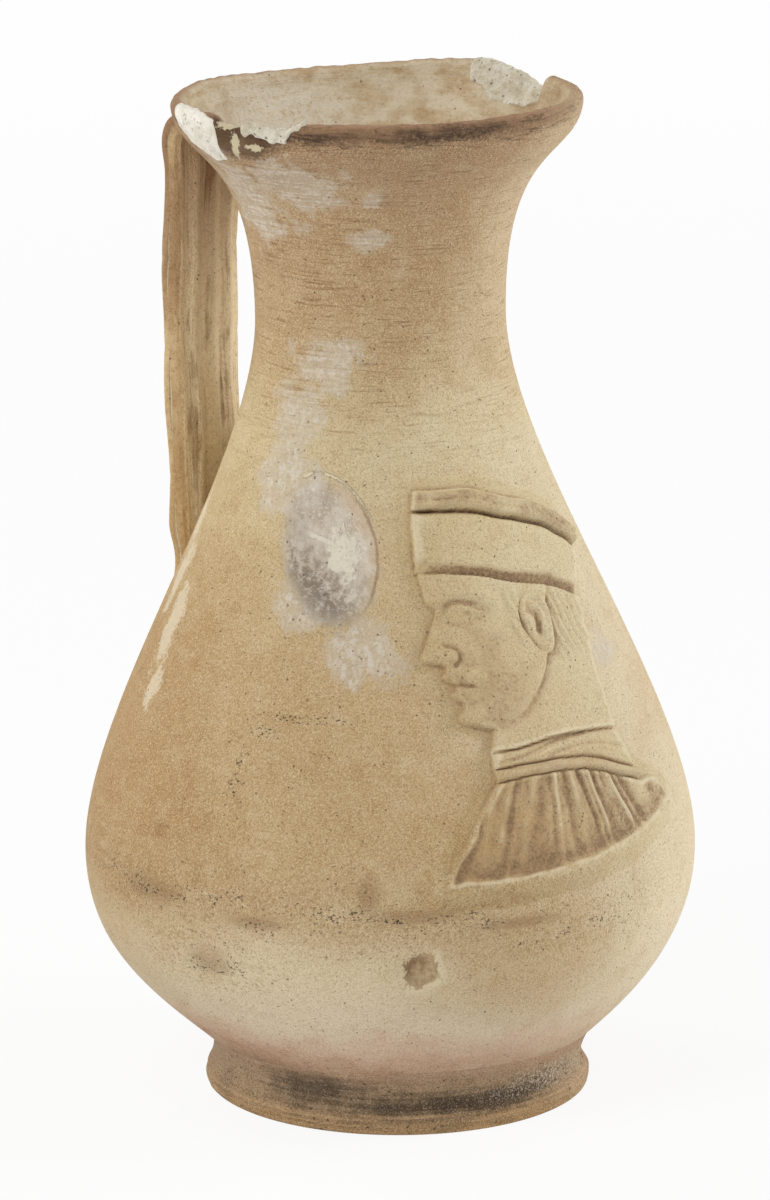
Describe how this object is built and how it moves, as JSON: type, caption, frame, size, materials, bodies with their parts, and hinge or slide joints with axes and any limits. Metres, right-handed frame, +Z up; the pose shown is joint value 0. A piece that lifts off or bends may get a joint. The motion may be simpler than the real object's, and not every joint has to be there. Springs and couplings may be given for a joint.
{
  "type": "jug",
  "caption": "Pear-shaped earthenware jug with a flared mouth, a ribbed strap handle, a low foot ring and an applied relief bust of a capped figure; plaster repairs on the rim.",
  "frame": {"origin": "centre of the foot ring on the surface it stands on", "axes": "+Z up; the strap handle is on the -X side; the relief bust faces between +X and -Y"},
  "size_m": [0.1713, 0.1704, 0.2824],
  "materials": {
    "buff_slip": "matt buff slip, wiped and soiled",
    "strap_clay": "matt brown-buff clay, streaked",
    "foot_clay": "matt brown clay with soot",
    "relief_clay": "matt buff slip over moulded clay",
    "plaster": "matt off-white plaster"
  },
  "bodies": {
    "root": {"belly": "buff_slip", "neck": "buff_slip", "strap_handle": "strap_clay", "foot_ring": "foot_clay", "cap_crown": "relief_clay", "cap_band": "relief_clay", "head": "relief_clay", "ear": "relief_clay", "collar_stand": "relief_clay", "collar_fold": "relief_clay", "tunic": "relief_clay", "rim_fill_front": "plaster", "rim_fill_back": "plaster", "flare_fill": "plaster"}
  },
  "joints": []
}
